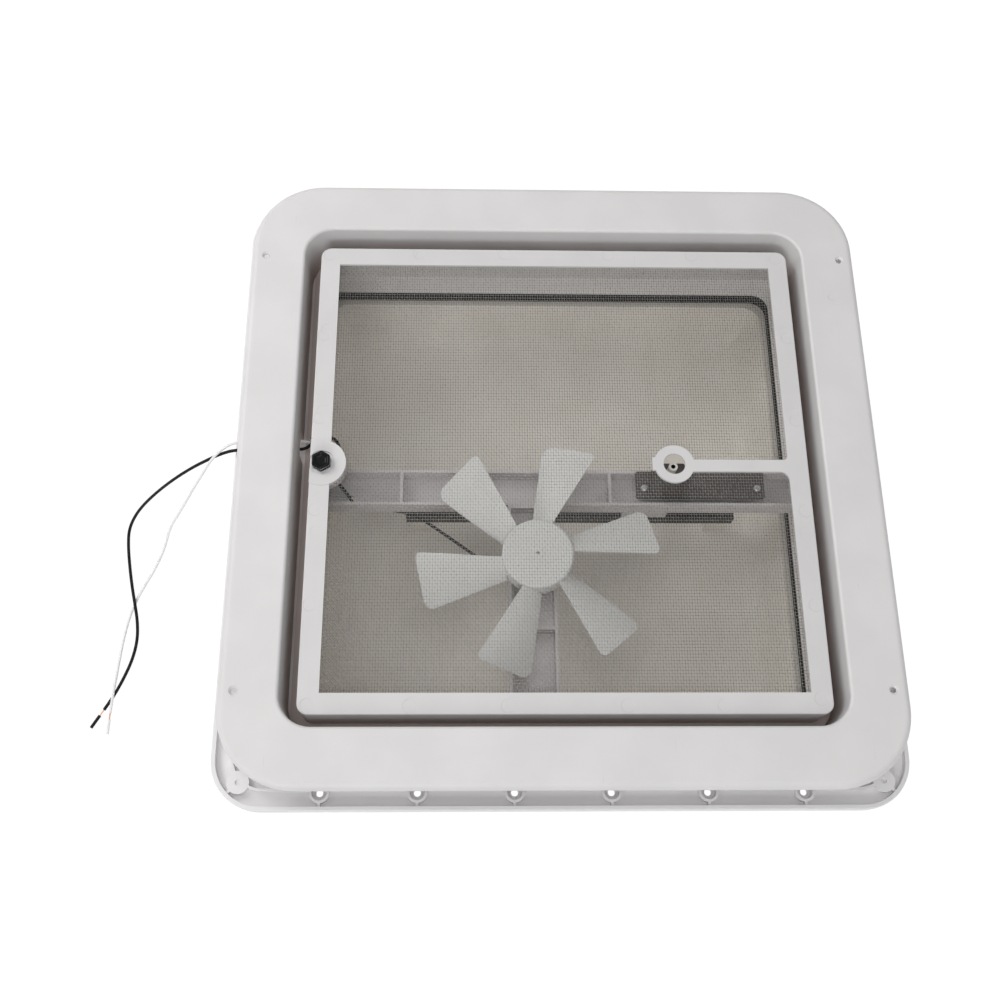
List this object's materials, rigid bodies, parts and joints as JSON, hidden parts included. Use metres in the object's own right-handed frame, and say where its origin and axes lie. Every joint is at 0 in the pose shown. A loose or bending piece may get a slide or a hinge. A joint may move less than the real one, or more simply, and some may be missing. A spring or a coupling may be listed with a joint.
{
  "type": "caravan roof vent",
  "caption": "Square roof vent for a caravan with trim ring, insect screen, extractor fan, switch and a crank that lifts its hinged lid.",
  "frame": {"origin": "middle of the opening at the lid's crown, on the floor that the vent lies on", "axes": "+Z through the opening into the room, so the sky and the lid are at -Z, as the vent lies in the picture; +X towards the lid's hinge and the crank, -X towards the switch and the leads"},
  "size_m": [0.5373, 0.435, 0.12],
  "materials": {
    "trim_plastic": "satin, fine grain",
    "base_plastic": "satin",
    "frame_plastic": "satin",
    "mesh_grey": "woven, grey",
    "lid_plastic": "smooth",
    "gasket_foam": "matt foam",
    "pin_steel": "turned",
    "track_steel": "painted",
    "rivet_alloy": "plain",
    "bar_plastic": "moulded",
    "screw_steel": "plated",
    "motor_steel": "plated",
    "magnet_dark": "ferrite",
    "cap_plastic": "moulded",
    "terminal_brass": "plain",
    "armature_steel": "laminated",
    "fan_plastic": "glossy",
    "spindle_plastic": "moulded",
    "roller_plastic": "smooth",
    "plate_dark": "dark coated",
    "switch_black": "moulded",
    "nut_chrome": "plated",
    "button_black": "glossy",
    "wire_black": "insulation",
    "wire_white": "insulation",
    "copper_strand": "bare copper"
  },
  "bodies": {
    "lid": {"lid_dome": "lid_plastic", "lid_gasket": "gasket_foam", "lid_track": "track_steel", "track_rivets": "rivet_alloy"},
    "base": {"roof_base": "base_plastic", "crossbar": "bar_plastic", "crossbar_screws": "screw_steel", "hinge_pins": "pin_steel", "trim_ring": "trim_plastic", "screen_frame": "frame_plastic", "insect_mesh": "mesh_grey", "motor_can": "motor_steel", "motor_magnets": "magnet_dark", "motor_cap": "cap_plastic", "motor_terminals": "terminal_brass", "motor_screws": "screw_steel", "crank_housing": "bar_plastic", "crank_plate": "plate_dark", "plate_screws": "screw_steel", "pivot_pin": "pin_steel", "pivot_bushes": "cap_plastic", "switch_body": "switch_black", "switch_terminals": "terminal_brass", "switch_nut": "nut_chrome", "wire_switch_feed": "wire_black", "wire_switch_motor": "wire_black", "wire_motor_return": "wire_white", "lead_black": "wire_black", "lead_white": "wire_white", "strand_black": "copper_strand", "strand_white": "copper_strand", "sleeve_black": "wire_black", "sleeve_white": "wire_white"},
    "rotor": {"motor_shaft": "pin_steel", "armature": "armature_steel", "fan": "fan_plastic"},
    "crank": {"crank_spindle": "spindle_plastic"},
    "arm": {"lift_arm": "track_steel", "roller_pin": "pin_steel"},
    "roller": {"arm_roller": "roller_plastic"},
    "button": {"switch_button": "button_black"}
  },
  "joints": [
    {"name": "lid_hinge", "type": "hinge", "parent": "lid", "child": "base", "pos_m": [0.196, 0, 0.026], "axis": [0, 1, 0], "range_deg": [0, 45]},
    {"name": "arm_swing", "type": "hinge", "parent": "base", "child": "arm", "pos_m": [0.0596, -0.0006, 0.04], "axis": [0, 1, 0], "range_deg": [-90, 0]},
    {"name": "crank_turn", "type": "hinge", "parent": "base", "child": "crank", "pos_m": [0.0756, -0.0006, 0.06], "axis": [0, 0, 1], "range_deg": [0, 2160]},
    {"name": "roller_spin", "type": "hinge", "parent": "arm", "child": "roller", "pos_m": [-0.0768, -0.0048, 0.026], "axis": [0, 1, 0], "continuous": true},
    {"name": "fan_spin", "type": "hinge", "parent": "base", "child": "rotor", "pos_m": [-0.0139, -0.0567, 0.089], "axis": [0, 0, 1], "continuous": true},
    {"name": "switch_press", "type": "slide", "parent": "base", "child": "button", "axis": [0, 0, -1], "range_m": [0, 0.001], "stiffness_N_per_m": 400, "springref_m": -0.001}
  ],
  "couplings": [
    {"joint": "arm_swing", "follows": "lid_hinge", "ratio": -2},
    {"joint": "crank_turn", "follows": "lid_hinge", "ratio": 48}
  ]
}
